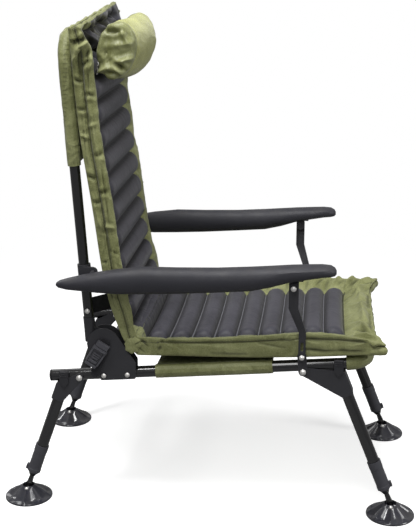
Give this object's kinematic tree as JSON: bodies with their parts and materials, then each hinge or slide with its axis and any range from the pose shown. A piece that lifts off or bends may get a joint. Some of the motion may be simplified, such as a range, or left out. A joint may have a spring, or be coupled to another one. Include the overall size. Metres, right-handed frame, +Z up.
{
  "type": "carp fishing chair",
  "caption": "Reclining padded bank chair: ribbed seat and back cushions, head pillow, parallel-arm rests, folding telescopic legs, tilting round mud feet.",
  "frame": {"origin": "on the floor, under the middle of the overall box", "axes": "+Z up; the sitter faces -Y; +X is the sitter's left; the chair is symmetric about X = 0"},
  "size_m": [0.564, 0.906, 1.0563],
  "materials": {
    "black_tube": "satin black paint",
    "black_steel": "matt black paint",
    "nickel": "bright",
    "charcoal_plastic": "fine texture",
    "black_plastic": "satin",
    "gloss_plastic": "gloss",
    "grey_plastic": "satin",
    "olive_fabric": "woven nylon",
    "slate_fabric": "quilted polyester",
    "fleece": "ribbed fleece",
    "webbing": "woven webbing"
  },
  "bodies": {
    "seat": {"seat_frame": "black_tube", "seat_sling": "olive_fabric", "seat_cushion": "slate_fabric", "rail_cap_left": "black_plastic", "hinge_bracket_left": "black_steel", "hinge_pin_left": "nickel", "strut_bracket_left": "black_steel", "buckle_strap_left": "webbing", "buckle_left": "grey_plastic", "front_leg_rivet_left": "nickel", "rear_leg_rivet_left": "nickel", "rail_cap_right": "black_plastic", "hinge_bracket_right": "black_steel", "hinge_pin_right": "nickel", "strut_bracket_right": "black_steel", "buckle_strap_right": "webbing", "buckle_right": "grey_plastic", "front_leg_rivet_right": "nickel", "rear_leg_rivet_right": "nickel"},
    "back": {"back_frame": "black_tube", "back_sleeve": "olive_fabric", "back_cushion": "slate_fabric", "lumbar_strap": "webbing", "headrest_pillow": "fleece", "back_arm_left": "black_steel", "arm_lug_left": "black_steel", "back_arm_right": "black_steel", "arm_lug_right": "black_steel"},
    "armrest_left": {"armrest_left": "charcoal_plastic", "armrest_bracket_left": "black_steel"},
    "strut_left": {"strut_left": "black_steel"},
    "front_leg_left": {"front_upper_leg_left": "black_tube", "front_leg_gusset_left": "black_steel", "front_leg_clip_left": "grey_plastic"},
    "front_collar_left": {"front_lock_collar_left": "black_plastic"},
    "front_lower_leg_left": {"front_lower_leg_left": "black_tube"},
    "front_foot_left": {"front_foot_left": "gloss_plastic"},
    "rear_leg_left": {"rear_upper_leg_left": "black_tube", "rear_leg_gusset_left": "black_steel", "rear_leg_clip_left": "grey_plastic"},
    "rear_collar_left": {"rear_lock_collar_left": "black_plastic"},
    "rear_lower_leg_left": {"rear_lower_leg_left": "black_tube"},
    "rear_foot_left": {"rear_foot_left": "gloss_plastic"},
    "armrest_right": {"armrest_right": "charcoal_plastic", "armrest_bracket_right": "black_steel"},
    "strut_right": {"strut_right": "black_steel"},
    "front_leg_right": {"front_upper_leg_right": "black_tube", "front_leg_gusset_right": "black_steel", "front_leg_clip_right": "grey_plastic"},
    "front_collar_right": {"front_lock_collar_right": "black_plastic"},
    "front_lower_leg_right": {"front_lower_leg_right": "black_tube"},
    "front_foot_right": {"front_foot_right": "gloss_plastic"},
    "rear_leg_right": {"rear_upper_leg_right": "black_tube", "rear_leg_gusset_right": "black_steel", "rear_leg_clip_right": "grey_plastic"},
    "rear_collar_right": {"rear_lock_collar_right": "black_plastic"},
    "rear_lower_leg_right": {"rear_lower_leg_right": "black_tube"},
    "rear_foot_right": {"rear_foot_right": "gloss_plastic"}
  },
  "joints": [
    {"name": "back_recline", "type": "hinge", "parent": "seat", "child": "back", "pos_m": [0, 0.218, 0.37404], "axis": [-1, 0, 0], "range_deg": [-70, 32], "deforming": ["seat_cushion", "back_cushion", "headrest_pillow"]},
    {"name": "armrest_tilt_left", "type": "hinge", "parent": "back", "child": "armrest_left", "pos_m": [0.255, 0.237, 0.53404], "axis": [-1, 0, 0], "range_deg": [-32, 70]},
    {"name": "strut_turn_left", "type": "hinge", "parent": "seat", "child": "strut_left", "pos_m": [0.2317, -0.202, 0.36603], "axis": [-1, 0, 0], "range_deg": [-70, 32]},
    {"name": "front_leg_fold_left", "type": "hinge", "parent": "seat", "child": "front_leg_left", "pos_m": [0.21, -0.205, 0.33036], "axis": [-1, 0, 0], "range_deg": [-84, 0]},
    {"name": "front_leg_slide_left", "type": "slide", "parent": "front_leg_left", "child": "front_lower_leg_left", "axis": [0, -0.3746, -0.9272], "range_m": [0, 0.11]},
    {"name": "front_collar_twist_left", "type": "hinge", "parent": "front_leg_left", "child": "front_collar_left", "pos_m": [0.21, -0.401, 0.026], "axis": [0, -0.3746, -0.9272], "range_deg": [0, 90]},
    {"name": "front_foot_tilt_left", "type": "hinge", "parent": "front_lower_leg_left", "child": "front_foot_left", "pos_m": [0.21, -0.401, 0.026], "axis": [-1, 0, 0], "range_deg": [-25, 25]},
    {"name": "rear_leg_fold_left", "type": "hinge", "parent": "seat", "child": "rear_leg_left", "pos_m": [0.21, 0.273, 0.29588], "axis": [1, 0, 0], "range_deg": [-105, 0]},
    {"name": "rear_leg_slide_left", "type": "slide", "parent": "rear_leg_left", "child": "rear_lower_leg_left", "axis": [0, 0.3387, -0.9409], "range_m": [0, 0.11]},
    {"name": "rear_collar_twist_left", "type": "hinge", "parent": "rear_leg_left", "child": "rear_collar_left", "pos_m": [0.21, 0.401, 0.026], "axis": [0, 0.3387, -0.9409], "range_deg": [0, 90]},
    {"name": "rear_foot_tilt_left", "type": "hinge", "parent": "rear_lower_leg_left", "child": "rear_foot_left", "pos_m": [0.21, 0.401, 0.026], "axis": [1, 0, 0], "range_deg": [-25, 25]},
    {"name": "armrest_tilt_right", "type": "hinge", "parent": "back", "child": "armrest_right", "pos_m": [-0.255, 0.237, 0.53404], "axis": [-1, 0, 0], "range_deg": [-32, 70]},
    {"name": "strut_turn_right", "type": "hinge", "parent": "seat", "child": "strut_right", "pos_m": [-0.2317, -0.202, 0.36603], "axis": [-1, 0, 0], "range_deg": [-70, 32]},
    {"name": "front_leg_fold_right", "type": "hinge", "parent": "seat", "child": "front_leg_right", "pos_m": [-0.21, -0.205, 0.33036], "axis": [-1, 0, 0], "range_deg": [-84, 0]},
    {"name": "front_leg_slide_right", "type": "slide", "parent": "front_leg_right", "child": "front_lower_leg_right", "axis": [0, -0.3746, -0.9272], "range_m": [0, 0.11]},
    {"name": "front_collar_twist_right", "type": "hinge", "parent": "front_leg_right", "child": "front_collar_right", "pos_m": [-0.21, -0.401, 0.026], "axis": [0, -0.3746, -0.9272], "range_deg": [0, 90]},
    {"name": "front_foot_tilt_right", "type": "hinge", "parent": "front_lower_leg_right", "child": "front_foot_right", "pos_m": [-0.21, -0.401, 0.026], "axis": [-1, 0, 0], "range_deg": [-25, 25]},
    {"name": "rear_leg_fold_right", "type": "hinge", "parent": "seat", "child": "rear_leg_right", "pos_m": [-0.21, 0.273, 0.29588], "axis": [1, 0, 0], "range_deg": [-105, 0]},
    {"name": "rear_leg_slide_right", "type": "slide", "parent": "rear_leg_right", "child": "rear_lower_leg_right", "axis": [0, 0.3387, -0.9409], "range_m": [0, 0.11]},
    {"name": "rear_collar_twist_right", "type": "hinge", "parent": "rear_leg_right", "child": "rear_collar_right", "pos_m": [-0.21, 0.401, 0.026], "axis": [0, 0.3387, -0.9409], "range_deg": [0, 90]},
    {"name": "rear_foot_tilt_right", "type": "hinge", "parent": "rear_lower_leg_right", "child": "rear_foot_right", "pos_m": [-0.21, 0.401, 0.026], "axis": [1, 0, 0], "range_deg": [-25, 25]}
  ],
  "couplings": [
    {"joint": "armrest_tilt_left", "follows": "back_recline", "ratio": -1},
    {"joint": "strut_turn_left", "follows": "back_recline", "ratio": 1},
    {"joint": "armrest_tilt_right", "follows": "back_recline", "ratio": -1},
    {"joint": "strut_turn_right", "follows": "back_recline", "ratio": 1}
  ]
}
